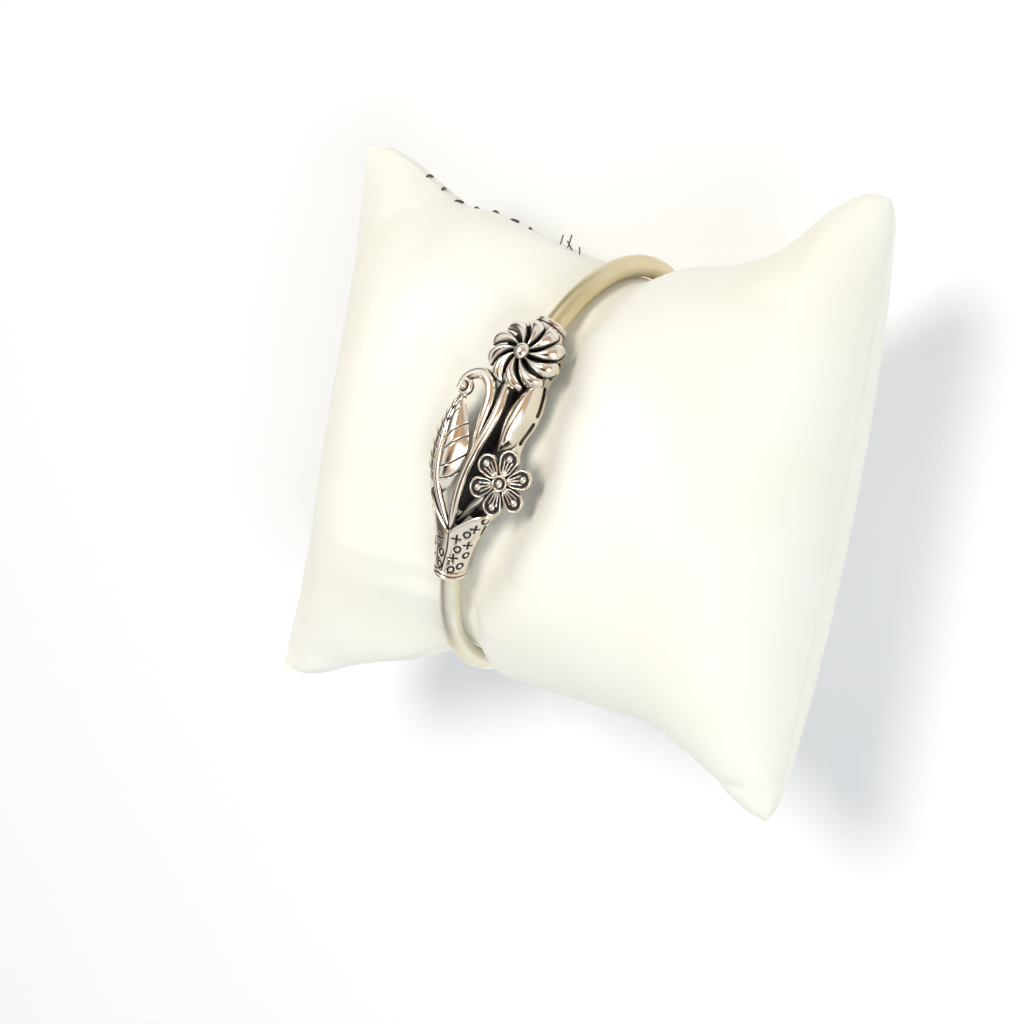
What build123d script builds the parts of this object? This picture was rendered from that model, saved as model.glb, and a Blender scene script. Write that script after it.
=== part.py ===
from build123d import *
import os
from math import atan2, cos, degrees, exp, pi, radians, sin, sqrt

# Silver bangle with a cast flower-and-leaf ornament, worn round a stuffed leather display pillow.
# Millimetres. The pillow lies on its back on z = 0, its front faces +Z, and +Y is the pillow's top edge.

# Pillow
pillow_half = 45.4            # middle to ear tip, along X and Y
seam_height = 33.2            # seam line above the surface that the pillow lies on
front_bulge = 27.0            # fullest point of the front above the seam
back_bulge = 36.5             # fullest point of the back below the seam, before it flattens
side_waist = 2.4              # how far the left seam pulls in at mid height
grid_cells = 34               # facets along each side of a panel

# Bangle: a four-arc oval of round tube
ring_half_length = 34.3       # middle to tube centre, along the oval
ring_half_height = 25.0       # middle to tube centre, across the oval
ring_front_radius = 46.0      # bend of the flat front and back arcs, at the tube centre
tube_radius = 1.65
tube_wall = 0.5
floor_gap = 0.2               # tube to the surface that the pillow lies on
ring_offset = (0.25, -1.5)    # the oval's middle from the pillow's, in X and Y
ring_yaw = -13.1              # degrees about Z
ring_lean = -4.8              # degrees about Y

# The leather dips under the bangle and rises again beside it
leather_gap = 0.4             # metal to leather
furrow_flat = 2.0             # half width of the flat bottom of the furrow
furrow_spread = 6.5           # how much wider it is under the ornament
furrow_width = 7.0            # how far beside that the leather recovers
ornament_dip = 0.75           # extra depth under the ornament and its collars

# Ornament: along the front arc, across it and outwards from the tube centre
ornament_reach = 20.0
ornament_half_width = 6.0
relief = 3.0                  # height of the leaves and flowers above the tube centre
top_share = 1.075             # where the cap meets the upper collar, as a share of ornament_reach
foot_share = -0.86            # where the calyx meets the lower collar
base_low = -1.0               # underside of the casting
base_high = -0.3              # top of the thin backing web
rim_high = 1.7                # top of the side walls
rim_wall = 0.7
slit_height = 0.7
calyx_wall = 0.6
stem_radius = 0.7
curl_radius = 0.8
leaf_stem_radius = 0.5
leaf_thickness = 0.8
curl_ball_radius = 1.2

# Sockets and collars
insert_depth = 2.5            # tube inside each socket
socket_gap = 0.05             # tube to socket, tube to collar and collar to casting
collar_band = (1.0, 0.9)      # collar beyond the tube, sideways and outwards
collar_rise = 0.25            # collars sit this much proud of the tube's middle
upper_collar_length = 0.95
lower_collar_length = 1.5

# Pinwheel flower
pinwheel_size = (5.7, 4.9)    # middle to petal end, across and along the arc
pinwheel_petals = 10
pinwheel_sweep = 32           # degrees that a petal turns from root to end
petal_ridge = 0.62            # half the thickness of a petal
pinwheel_disc = 1.1
pinwheel_bead = 1.15

# Six-petal flower, leaning to the right
daisy_reach = 3.4             # middle to the round end of a petal
daisy_petals = 6
daisy_lean = 15
petal_thickness = 0.9
petal_dish = 0.4
petal_end_radius = 1.4
petal_rim = 0.35
daisy_bead = 0.5
daisy_eye = 1.05

top_joint = top_share * ornament_reach
foot_joint = foot_share * ornament_reach
ring_centre = (*ring_offset, ring_half_height + tube_radius + floor_gap)
ring_end_radius = (
    2 * ring_front_radius * ring_half_height - ring_half_height**2 - ring_half_length**2
) / (2 * (ring_front_radius - ring_half_length))
front_drop = ring_front_radius - ring_half_height
end_offset = ring_half_length - ring_end_radius
front_angle = atan2(end_offset, front_drop)
collar_size = (tube_radius + collar_band[0], tube_radius + collar_band[1])

# The ring's frame: origin at the oval's middle, Z out through the ornament, Y along the oval
ring_frame = Location(ring_centre, (0, 0, ring_yaw)) * Location((0, 0, 0), (0, ring_lean, 0))
# The front arc's frame: the same axes, with the origin at the arc's centre
arc_frame = ring_frame * Location((0, 0, -front_drop))

# Pillow seams: where along X, and how far out along Y, as shares of pillow_half
seam_rows = [
    # along, top, bottom
    (-1.00, 1.00, -1.00),
    (-0.85, 0.98, -0.98),
    (-0.67, 0.92, -0.92),
    (-0.54, 0.83, -0.87),
    (-0.30, 0.78, -0.82),
    (0.00, 0.72, -0.79),
    (0.35, 0.72, -0.79),
    (0.60, 0.76, -0.81),
    (0.70, 0.80, -0.87),
    (0.78, 0.90, -0.93),
    (0.90, 1.00, -0.98),
    (1.00, 1.00, -1.00),
]

# The tables below hold shares: of ornament_reach along the arc, of ornament_half_width across it,
# and of relief outwards.

# Right edge of the casting, seen from outside
right_edge = [
    # along, across
    (-0.36, 0.93),
    (-0.30, 1.00),
    (-0.20, 1.03),
    (0.00, 1.02),
    (0.15, 0.93),
    (0.25, 0.92),
    (0.40, 1.02),
    (0.50, 1.00),
    (0.60, 0.90),
    (0.70, 0.80),
    (0.82, 0.80),
    (0.92, 0.70),
]

# Outer edge of the wall behind the veined leaf
left_edge = [(-0.35, -0.98), (-0.20, -1.10), (0.00, -1.17), (0.22, -1.17)]

# Left edge of the web under the stems
web_edge = [
    (0.63, -0.37),
    (0.50, -0.47),
    (0.30, -0.45),
    (0.10, -0.38),
    (-0.10, -0.38),
    (-0.30, -0.43),
    (-0.43, -0.47),
]

# Leather shows through here, between the narrow leaf, the six-petal flower and the calyx
web_window = [(-0.37, 0.32), (-0.22, 0.43), (-0.20, 0.72), (-0.27, 0.77), (-0.34, 0.57)]

# Slits in the side wall and in the calyx: along from, along to
wall_slits = [(0.76, 0.88), (0.49, 0.66), (0.27, 0.43)]
calyx_slits = [(-0.47, -0.38), (-0.67, -0.54)]

# Middle lines of the stems
main_stem = [
    # along, across, out
    (-0.61, -0.02, 0.47),
    (-0.50, -0.03, 0.57),
    (-0.30, -0.07, 0.67),
    (-0.10, -0.03, 0.70),
    (0.10, 0.07, 0.70),
    (0.30, 0.17, 0.70),
    (0.45, 0.13, 0.67),
    (0.60, -0.03, 0.50),
    (0.70, -0.15, 0.37),
]
curl_stem = [
    (-0.03, -0.02, 0.50),
    (0.12, -0.10, 0.60),
    (0.25, -0.15, 0.67),
    (0.38, -0.20, 0.73),
    (0.50, -0.32, 0.77),
    (0.57, -0.50, 0.80),
    (0.59, -0.73, 0.83),
    (0.56, -0.95, 0.87),
    (0.50, -1.03, 0.90),
]
leaf_stem = [
    (0.08, -0.88, 0.87),
    (-0.05, -0.83, 0.97),
    (-0.17, -0.77, 0.97),
    (-0.30, -0.65, 0.90),
    (-0.43, -0.40, 0.73),
    (-0.57, -0.15, 0.50),
]
curl_ball = (0.44, -0.95, 0.90)

# Leaves, station by station
veined_leaf = [
    # along, left across, left out, ridge across, ridge out, right across, right out
    (0.41, -1.08, 0.63, -1.03, 0.77, -0.98, 0.63),
    (0.33, -1.24, 0.47, -0.95, 0.97, -0.77, 0.73),
    (0.20, -1.39, 0.40, -0.92, 1.07, -0.48, 0.63),
    (0.05, -1.43, 0.40, -0.85, 1.10, -0.25, 0.60),
    (-0.10, -1.42, 0.40, -0.80, 1.07, -0.23, 0.60),
    (-0.23, -1.27, 0.40, -0.75, 0.97, -0.33, 0.60),
    (-0.30, -0.98, 0.53, -0.67, 0.83, -0.50, 0.63),
    (-0.36, -0.65, 0.60, -0.60, 0.73, -0.55, 0.60),
]
plain_leaf = [
    (0.71, 0.70, 0.47, 0.76, 0.57, 0.80, 0.47),
    (0.64, 0.57, 0.53, 0.74, 0.77, 0.87, 0.50),
    (0.53, 0.42, 0.50, 0.74, 0.97, 0.96, 0.43),
    (0.40, 0.33, 0.50, 0.73, 1.00, 1.00, 0.43),
    (0.28, 0.38, 0.50, 0.70, 0.93, 0.92, 0.43),
    (0.20, 0.47, 0.50, 0.67, 0.80, 0.83, 0.47),
    (0.13, 0.55, 0.50, 0.59, 0.60, 0.63, 0.50),
]
narrow_leaf = [
    (-0.49, -0.02, 0.40, 0.03, 0.57, 0.08, 0.40),
    (-0.41, 0.17, 0.40, 0.25, 0.60, 0.32, 0.40),
    (-0.32, 0.32, 0.43, 0.42, 0.73, 0.52, 0.47),
    (-0.24, 0.50, 0.47, 0.58, 0.73, 0.67, 0.50),
    (-0.17, 0.63, 0.50, 0.67, 0.60, 0.70, 0.50),
]

# Calyx above its foot
calyx_rows = [
    # along, half width, half height
    (-0.70, 0.53, 0.77),
    (-0.50, 0.78, 0.83),
    (-0.35, 0.98, 0.87),
    (-0.26, 1.07, 0.87),
]

# Open mouth of the calyx, a V seen from outside
calyx_mouth = [
    (-0.32, -1.13),
    (-0.40, -0.75),
    (-0.48, -0.37),
    (-0.56, 0.00),
    (-0.52, 0.13),
    (-0.46, 0.32),
    (-0.38, 0.58),
    (-0.33, 0.87),
    (-0.31, 1.13),
]

# One bead of a collar: share of its length, and how far it is rounded off there as a share of it
collar_rows = [(0.00, 0.40), (0.12, 0.15), (0.36, 0.00), (0.64, 0.00), (0.88, 0.15), (1.00, 0.40)]

# Places of the flowers' middles, and of the post under the leaning flower
pinwheel_place = (0.80, -0.03, 0.77)
daisy_place = (-0.045, 1.14, 0.97)
daisy_post = (-0.045, 0.90, 0.33)

# A pinwheel petal: shares of its reach and of its sweep, half width as a share of its reach,
# height as a share of relief, and share of its full thickness
pinwheel_rows = [
    # reach, sweep, half width, height, thickness
    (0.16, 0.00, 0.08, 0.18, 1.00),
    (0.45, 0.30, 0.16, 0.18, 1.00),
    (0.72, 0.65, 0.22, 0.03, 1.00),
    (0.90, 0.92, 0.19, -0.19, 0.95),
    (0.99, 1.00, 0.10, -0.30, 0.55),
]


def at(s, t, h):
    """Point at s along the arc, t across it and h outwards, in millimetres."""
    turn = s / ring_front_radius
    reach = ring_front_radius + h
    return Vector(t, reach * sin(turn), reach * cos(turn))


def spot(along, across, out):
    """The same, from a table's shares."""
    return at(along * ornament_reach, across * ornament_half_width, out * relief)


def seat(along, across, out, roll=0):
    """Location at a table's place: Y along the arc, Z outwards, rolled about the arc's direction."""
    turn = degrees(along * ornament_reach / ring_front_radius)
    return Location(spot(along, across, out), (-turn, 0, 0)) * Location((0, 0, 0), (0, roll, 0))


def cross_plane(s, h):
    """Plane across the arc at s: its Y points outwards, its normal along the arc."""
    turn = s / ring_front_radius
    return Plane(at(s, 0, h), x_dir=(-1, 0, 0), z_dir=(0, cos(turn), -sin(turn)))


def seam_share(along, column):
    """Seam position at a share of the half length, between the rows of the table."""
    for low, high in zip(seam_rows, seam_rows[1:]):
        if along <= high[0]:
            k = max(0.0, (along - low[0]) / (high[0] - low[0]))
            return low[column] + (high[column] - low[column]) * k
    return seam_rows[-1][column]


def oval_offset(u, w):
    """Distance outside the oval's tube centre line, and the outward direction there."""
    turn = atan2(abs(u), abs(w) + front_drop)
    if turn <= front_angle:
        centre_u, centre_w, radius = 0.0, -front_drop, ring_front_radius
    else:
        centre_u, centre_w, radius = end_offset, 0.0, ring_end_radius
    du, dw = abs(u) - centre_u, abs(w) - centre_w
    reach = sqrt(du * du + dw * dw) or 1e-9
    return reach - radius, du / reach * (1 if u >= 0 else -1), dw / reach * (1 if w >= 0 else -1)


def squeeze(point):
    """Moves a point of the pillow in where the bangle presses on it."""
    d, u, w = (ring_frame.inverse() * Location(point)).position
    outside, out_u, out_w = oval_offset(u, w)
    flat = furrow_flat
    limit = -(tube_radius + leather_gap)
    if w > 0:
        past = top_joint - abs(ring_front_radius * atan2(u, w + front_drop))
        limit -= ornament_dip * min(1.0, max(0.0, (past + furrow_width) / (furrow_width / 2)))
        flat += furrow_spread * min(1.0, max(0.0, (past + 1) / (furrow_width + 2)))
    if outside > limit:
        press = exp(-((max(0.0, abs(d) - flat) / furrow_width) ** 2))
        u += out_u * (limit - outside) * press
        w += out_w * (limit - outside) * press
    return (ring_frame * Location((d, u, w))).position


def pillow_point(p, q, side):
    """Point of the front (side 1) or back (side -1) panel, with p and q from -1 to 1."""
    top, bottom = seam_share(p, 1), seam_share(p, 2)
    x = pillow_half * p
    if p < 0:
        x += side_waist * (1 - q * q) * p * p
    y = pillow_half * (bottom + (top - bottom) * (q + 1) / 2)
    bulge = front_bulge if side > 0 else back_bulge
    fullness = ((1 - abs(p) ** 2.6) * (1 - abs(q) ** 2.2)) ** 0.55
    moved = squeeze(Vector(x, y, seam_height + side * bulge * fullness))
    return Vector(moved.X, moved.Y, max(0.0, moved.Z))


def make_pillow():
    """Both panels as one closed faceted solid, with the facets packed towards the seams."""
    spread = [sin((2 * k / grid_cells - 1) * pi / 2) for k in range(grid_cells + 1)]
    faces = []
    seam = {}
    for side in (1, -1):
        grid = {}
        for i, p in enumerate(spread):
            for j, q in enumerate(spread):
                if i in (0, grid_cells) or j in (0, grid_cells):
                    if (i, j) not in seam:
                        seam[i, j] = pillow_point(p, q, side)
                    grid[i, j] = seam[i, j]
                else:
                    grid[i, j] = pillow_point(p, q, side)
        for i in range(grid_cells):
            for j in range(grid_cells):
                a, b = grid[i, j], grid[i + 1, j]
                c, d = grid[i + 1, j + 1], grid[i, j + 1]
                pairs = ((a, b, d), (b, c, d)) if (i + j) % 2 else ((a, b, c), (a, c, d))
                for corners in pairs:
                    faces.append(Face(Wire.make_polygon(corners[::side])))
    return Solid(Shell(faces)).clean()  # the facets that lie on z = 0 become whole faces


def make_tube():
    """Round tube that follows the oval from one socket, round the back, to the other."""
    def on(centre, radius, turn):
        return centre + Vector(0, radius * sin(turn), radius * cos(turn))

    def arc(centre, radius, start, end):
        turns = (start, (start + end) / 2, end)
        return ThreePointArc(*[on(centre, radius, turn) for turn in turns])

    front, back = Vector(0, 0, -front_drop), Vector(0, 0, front_drop)
    right, left = Vector(0, end_offset, 0), Vector(0, -end_offset, 0)
    path = Wire([
        arc(front, ring_front_radius, (top_joint - insert_depth) / ring_front_radius, front_angle),
        arc(right, ring_end_radius, front_angle, pi - front_angle),
        arc(back, ring_front_radius, pi - front_angle, pi + front_angle),
        arc(left, ring_end_radius, pi + front_angle, 2 * pi - front_angle),
        arc(front, ring_front_radius, -front_angle, (foot_joint + insert_depth) / ring_front_radius),
    ])
    start = Plane(path @ 0, z_dir=path % 0)
    outer = sweep(start * Circle(tube_radius), path=path)
    return ring_frame * (outer - sweep(start * Circle(tube_radius - tube_wall), path=path))


def make_collar(s, length, beads):
    """Oval ring round the tube from s upwards, as one or more rounded beads side by side."""
    pitch = length / beads
    wires = []
    for k in range(beads):
        for share, inset in collar_rows[min(k, 1):]:
            wide, high = (size - inset * pitch for size in collar_size)
            oval = Pos(0, collar_rise, (k + share) * pitch) * Ellipse(wide, high)
            wires.append(oval.face().outer_wire())
    collar = Solid.make_loft(wires, ruled=True) - Cylinder(tube_radius + socket_gap, 3 * length)
    return arc_frame * cross_plane(s, 0).location * collar


def plan_prism(rows):
    """Prism straight through the casting, from a table's rows of along and across."""
    points = []
    for along, across in rows:
        turn = along * ornament_reach / ring_front_radius
        points.append((across * ornament_half_width, ring_front_radius * sin(turn), 0))
    return extrude(Face(Wire.make_polygon(points)), 2 * ring_front_radius, dir=(0, 0, 1))


def band(low, high):
    """Curved slab between two heights over the front arc."""
    width = 5 * ornament_half_width
    drum = Cylinder(ring_front_radius + high, width, rotation=(0, 90, 0))
    return drum - Cylinder(ring_front_radius + low, width, rotation=(0, 90, 0))


def make_web():
    """Thin backing under the stems, with its window."""
    inset = 0.3 * rim_wall / ornament_half_width
    right = [(along, across - inset) for along, across in right_edge if along < web_edge[0][0]]
    return (plan_prism(right + web_edge) & band(base_low, base_high)) - plan_prism(web_window)


def make_wall(edge, side):
    """Upright wall inside an edge; side is 1 at the right and -1 at the left."""
    inset = side * rim_wall / ornament_half_width
    inner = [(along, across - inset) for along, across in reversed(edge)]
    return plan_prism(edge + inner) & band(base_low, rim_high)


def make_slit(low, high, across):
    """Cutter for one slit through a wall."""
    middle = (low + high) / 2
    length = (high - low) * ornament_reach
    return seat(middle, across, 0.15) * Box(6 * rim_wall, length, slit_height)


def make_stem(rows, radius):
    """Round stem along a table's middle line, closed by balls."""
    path = Spline([spot(*row) for row in rows])
    stem = sweep(Plane(path @ 0, z_dir=path % 0) * Circle(radius), path=path)
    for end in (0, 1):
        stem += Pos(path @ end) * Sphere(radius)
    return stem


def make_leaf(rows, rounded=False):
    """Leaf of one thickness, roofed or rounded."""
    rim = leaf_thickness / 2 / relief
    sections = []
    for along, left, left_out, ridge, ridge_out, right, right_out in rows:
        top = [spot(along, left, left_out), spot(along, ridge, ridge_out), spot(along, right, right_out)]
        low = [
            spot(along, right, right_out - rim),
            spot(along, ridge, ridge_out - 2 * rim),
            spot(along, left, left_out - rim),
        ]
        if rounded:
            edges = [Spline(top), Line(top[2], low[0]), Spline(low), Line(low[2], top[0])]
            sections.append(Wire(edges))
        else:
            sections.append(Wire.make_polygon(top + low))
    return Solid.make_loft(sections)


def make_cone(rows, shrink=0):
    """Loft through ovals across the arc, from rows of s, rise, half width and half height."""
    wires = []
    for s, rise, wide, high in rows:
        oval = cross_plane(s, rise) * Ellipse(wide - shrink, high - shrink)
        wires.append(oval.face().outer_wire())
    return Solid.make_loft(wires)


def make_calyx():
    """Hollow cone with a V mouth, cut flat underneath like the rest of the casting."""
    rows = [
        (along * ornament_reach, 0, wide * ornament_half_width, high * relief)
        for along, wide, high in calyx_rows
    ]
    foot = (foot_joint, collar_rise, collar_size[0] - socket_gap, collar_size[1])
    calyx = make_cone([foot] + rows)
    socket_end = foot_joint + insert_depth + calyx_wall
    lip = (rows[-1][0] + 1, 0, rows[-1][2] * 1.05, rows[-1][3])
    calyx -= make_cone([(socket_end, 0, rows[0][2], rows[0][3])] + rows[1:] + [lip], calyx_wall)
    mouth = calyx_mouth + [(-0.15, 1.33), (-0.15, -1.33)]
    calyx -= plan_prism(mouth) & band(base_high, 3 * relief)
    under = [(-0.69, -1.5), (-0.69, 1.5), (-0.1, 1.5), (-0.1, -1.5)]
    calyx -= plan_prism(under) & band(-2 * relief, base_low)
    for low, high in calyx_slits:
        calyx -= make_slit(low, high, 0.73)
    return calyx


def make_cap():
    """Socket between the pinwheel flower and the upper collar."""
    wide, high = collar_size
    return make_cone([
        (top_joint, collar_rise, wide - 0.15, high - 0.15),
        (top_joint - 0.8 * insert_depth, collar_rise, wide + 0.5, high),
        (top_joint - 2 * insert_depth, 0.8 * collar_rise, wide + 1.3, 0.77 * high),
    ])


def make_bore(s, way):
    """Hole for the tube from just outside a joint into its socket; way is 1 at the top, -1 at the foot."""
    def on(turn):
        return Vector(0, ring_front_radius * sin(turn), ring_front_radius * cos(turn))

    start = (s + way) / ring_front_radius
    end = (s - way * insert_depth) / ring_front_radius
    path = ThreePointArc(on(start), on((start + end) / 2), on(end))
    return sweep(Plane(path @ 0, z_dir=path % 0) * Circle(tube_radius + socket_gap), path=path)


def make_pinwheel():
    """Swirl of ridged petals on a disc, with a bead in the middle."""
    wide, long = pinwheel_size
    flower = Pos(0, 0, -0.43 * relief) * Cylinder(0.8 * long, pinwheel_disc)
    for k in range(pinwheel_petals):
        spots = []
        for reach, turn, half, height, thick in pinwheel_rows:
            a = radians(360 / pinwheel_petals * k + pinwheel_sweep * turn)
            middle = Vector(wide * reach * cos(a), long * reach * sin(a), height * relief)
            spots.append((middle, half * (wide + long) / 2, thick * petal_ridge))
        wires = []
        for i, (middle, half, thick) in enumerate(spots):
            along = spots[min(i + 1, len(spots) - 1)][0] - spots[max(i - 1, 0)][0]
            plane = Plane(middle, x_dir=Vector(0, 0, 1).cross(along), z_dir=along)
            wires.append((plane * Ellipse(half, thick)).face().outer_wire())
        flower += Solid.make_loft(wires)
    flower += Pos(0, 0, 0.33 * relief) * Sphere(pinwheel_bead)
    return seat(*pinwheel_place) * flower


def make_daisy():
    """Six dished petals, each with a bead and two ridges, round a ringed bead, on a post."""
    def teardrop(root, round_end, height):
        ends = [Pos(root, 0) * Circle(0.32 * round_end).edge(), Pos(daisy_reach, 0) * Circle(round_end).edge()]
        return extrude(make_hull(ends), height)

    petal = teardrop(0.3 * daisy_reach, petal_end_radius, petal_thickness)
    dish = teardrop(0.44 * daisy_reach, petal_end_radius - petal_rim, petal_thickness)
    petal -= Pos(0, 0, petal_thickness - petal_dish) * dish
    floor = petal_thickness - petal_dish
    petal += Pos(daisy_reach + 0.2, 0, floor + 0.1) * Sphere(daisy_bead)
    for side in (-1, 1):
        ridge = Line((0.32 * daisy_reach, 0.12 * side, floor + 0.1), (daisy_reach, 0.55 * side, floor + 0.1))
        petal += sweep(Plane(ridge @ 0, z_dir=ridge % 0) * Circle(0.16), path=ridge)
    flower = Pos(0, 0, 0.1) * Cylinder(daisy_eye + 0.45, 1.2)
    for k in range(daisy_petals):
        flower += Location((0, 0, 0), (0, 0, 30 + 360 / daisy_petals * k)) * petal
    flower += Pos(0, 0, 0.75) * Torus(daisy_eye, 0.28)
    flower += Pos(0, 0, 0.8) * Sphere(0.6 * daisy_eye)
    post = seat(*daisy_post) * Cylinder(1.3, 3.8)
    return seat(*daisy_place, roll=daisy_lean) * flower + post


def make_casting():
    """The whole ornament as one piece of metal."""
    wall = make_wall(right_edge, 1)
    for low, high in wall_slits:
        wall -= make_slit(low, high, 0.93)
    casting = make_web() + wall + make_calyx() + make_cap() + make_wall(left_edge, -1)
    casting += make_leaf(plain_leaf, rounded=True)
    casting += make_pinwheel()
    casting += make_daisy()
    stems = make_stem(main_stem, stem_radius) + make_stem(curl_stem, curl_radius) + make_leaf(narrow_leaf)
    left_leaf = make_leaf(veined_leaf) + Pos(spot(*curl_ball)) * Sphere(curl_ball_radius)
    left_leaf += make_stem(leaf_stem, leaf_stem_radius)
    casting += stems
    casting += left_leaf
    for joint, way in ((top_joint, 1), (foot_joint, -1)):
        casting -= make_bore(joint, way)
    return arc_frame * casting


pieces = {
    "display_pillow": make_pillow(),
    "bangle_tube": make_tube(),
    "upper_collar": make_collar(top_joint + socket_gap, upper_collar_length, 1),
    "lower_collar": make_collar(foot_joint - socket_gap - lower_collar_length, lower_collar_length, 2),
    "ornament_casting": make_casting(),
}

os.makedirs("parts", exist_ok=True)
for name, shape in pieces.items():
    print(name, "valid", shape.is_valid, "solids", len(shape.solids()), "volume", round(shape.volume, 2))
    export_step(shape, f"parts/{name}.step")
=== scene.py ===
import math

import bpy
import numpy as np
from mathutils import Matrix, Vector


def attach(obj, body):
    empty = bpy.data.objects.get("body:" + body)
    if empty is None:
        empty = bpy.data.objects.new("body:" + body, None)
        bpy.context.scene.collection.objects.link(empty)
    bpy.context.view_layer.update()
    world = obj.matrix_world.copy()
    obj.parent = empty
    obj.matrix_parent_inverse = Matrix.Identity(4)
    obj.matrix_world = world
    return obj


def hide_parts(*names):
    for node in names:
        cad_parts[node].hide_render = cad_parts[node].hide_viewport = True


# Silver bangle with a cast flower-and-leaf top on a stuffed leather display pillow.
# The ornament is shaped flat in millimetres (across, along, out) and then laid on the bangle's front arc.

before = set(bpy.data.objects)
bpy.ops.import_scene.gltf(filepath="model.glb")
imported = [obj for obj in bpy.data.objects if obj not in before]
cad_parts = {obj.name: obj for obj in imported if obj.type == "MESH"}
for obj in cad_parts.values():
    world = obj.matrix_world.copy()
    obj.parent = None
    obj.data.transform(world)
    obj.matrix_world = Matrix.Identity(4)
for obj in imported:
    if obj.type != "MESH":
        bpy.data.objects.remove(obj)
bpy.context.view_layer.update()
print("frame loaded:", ", ".join(sorted(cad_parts)))

ring = {  # the oval that the tube follows
    "centre": (0.25, -1.5, 26.85),
    "yaw": -13.1,  # degrees about Z
    "lean": -4.8,  # degrees about Y
    "halfLength": 34.3,
    "halfHeight": 25.0,
    "frontRadius": 46.0,
    "tubeRadius": 1.65,
}
frontDrop = ring["frontRadius"] - ring["halfHeight"]
ringFrame = (
    Matrix.Translation(ring["centre"])
    @ Matrix.Rotation(math.radians(ring["yaw"]), 4, "Z")
    @ Matrix.Rotation(math.radians(ring["lean"]), 4, "Y")
)
arcFrame = ringFrame @ Matrix.Translation((0, 0, -frontDrop))


def toLinear(hexColour):
    values = [int(hexColour[k : k + 2], 16) / 255 for k in (1, 3, 5)]
    return tuple(v / 12.92 if v <= 0.04045 else ((v + 0.055) / 1.055) ** 2.4 for v in values) + (1.0,)


def addNode(tree, kind, inputs=None, **settings):
    made = tree.nodes.new(kind)
    for name, value in settings.items():
        setattr(made, name, value)
    for key, value in (inputs or {}).items():
        if isinstance(value, bpy.types.NodeSocket):
            tree.links.new(value, made.inputs[key])
        else:
            made.inputs[key].default_value = value
    return made


def readPoints(obj):
    flat = np.empty(len(obj.data.vertices) * 3)
    obj.data.vertices.foreach_get("co", flat)
    return flat.reshape(-1, 3)


def writePoints(obj, points):
    obj.data.vertices.foreach_set("co", np.ascontiguousarray(points).ravel())
    obj.data.update()


def deselectAll():
    for other in list(bpy.context.selected_objects):
        other.select_set(False)


def makeActive(obj):
    deselectAll()
    obj.select_set(True)
    bpy.context.view_layer.objects.active = obj


def applyModifier(obj, kind, **settings):
    makeActive(obj)
    modifier = obj.modifiers.new(kind.title(), kind)
    for name, value in settings.items():
        setattr(modifier, name, value)
    bpy.ops.object.modifier_apply(modifier=modifier.name)


def joinPieces(objects):
    makeActive(objects[0])
    for other in objects[1:]:
        other.select_set(True)
    bpy.ops.object.join()
    return bpy.context.active_object


def copyPiece(obj):
    copied = obj.copy()
    copied.data = obj.data.copy()
    bpy.context.scene.collection.objects.link(copied)
    return copied


def mergeAndFaceOut(obj, distance=0.0001):
    makeActive(obj)
    bpy.ops.object.mode_set(mode="EDIT")
    bpy.ops.mesh.select_all(action="SELECT")
    bpy.ops.mesh.remove_doubles(threshold=distance)
    bpy.ops.mesh.normals_make_consistent(inside=False)
    bpy.ops.object.mode_set(mode="OBJECT")


def flow(x, rows, column):  # smooth curve through a table whose first column rises
    xs = np.array([row[0] for row in rows], float)
    ys = np.array([row[column] for row in rows], float)
    slopes = np.gradient(ys, xs)
    i = np.clip(np.searchsorted(xs, x, side="right") - 1, 0, len(xs) - 2)
    step = xs[i + 1] - xs[i]
    k = np.clip((x - xs[i]) / step, 0, 1)
    return (
        (2 * k**3 - 3 * k**2 + 1) * ys[i]
        + (k**3 - 2 * k**2 + k) * step * slopes[i]
        + (-2 * k**3 + 3 * k**2) * ys[i + 1]
        + (k**3 - k**2) * step * slopes[i + 1]
    )


def smoothStep(x, low, high):
    k = np.clip((x - low) / (high - low), 0, 1)
    return k * k * (3 - 2 * k)


def segmentDistance(x, y, start, end):
    dx, dy = end[0] - start[0], end[1] - start[1]
    k = np.clip(((x - start[0]) * dx + (y - start[1]) * dy) / (dx * dx + dy * dy), 0, 1)
    return np.hypot(x - start[0] - k * dx, y - start[1] - k * dy)


def lineDistance(x, y, points):
    return np.minimum.reduce([segmentDistance(x, y, a, b) for a, b in zip(points, points[1:])])


def spanTable(rows, v):  # v from -1 to 1 becomes a place in the table's first column
    return rows[0][0] + (rows[-1][0] - rows[0][0]) * (v + 1) / 2


def flowAll(x, rows):
    return [flow(x, rows, column) for column in range(1, len(rows[0]))]


def dome(distance, radius):  # 1 in the middle, round down to 0 at the radius
    return np.sqrt(np.clip(1 - (distance / radius) ** 2, 0, 1))


def ripple(distance, width):  # 1 in the middle, fading softly to either side
    return np.exp(-((distance / width) ** 2))


def setOxideAndShade(obj, values):  # how far the blackening shows, 0 polished to 1 black: oxide in the hollows, and painted shade under and between the pieces
    attribute = obj.data.attributes.get("oxideAndShade") or obj.data.attributes.new("oxideAndShade", "FLOAT", "POINT")
    shown = np.broadcast_to(np.asarray(values, np.float32), len(obj.data.vertices))
    attribute.data.foreach_set("value", shown.copy())


def addGrid(name, columns, rows):  # flat sheet, u and v from -1 to 1
    bpy.ops.mesh.primitive_grid_add(x_subdivisions=columns, y_subdivisions=rows, size=2)
    obj = bpy.context.active_object
    obj.name = name
    return obj


def addBall(name, segments, rings):
    bpy.ops.mesh.primitive_uv_sphere_add(segments=segments, ring_count=rings, radius=1)
    obj = bpy.context.active_object
    obj.name = name
    return obj


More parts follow.
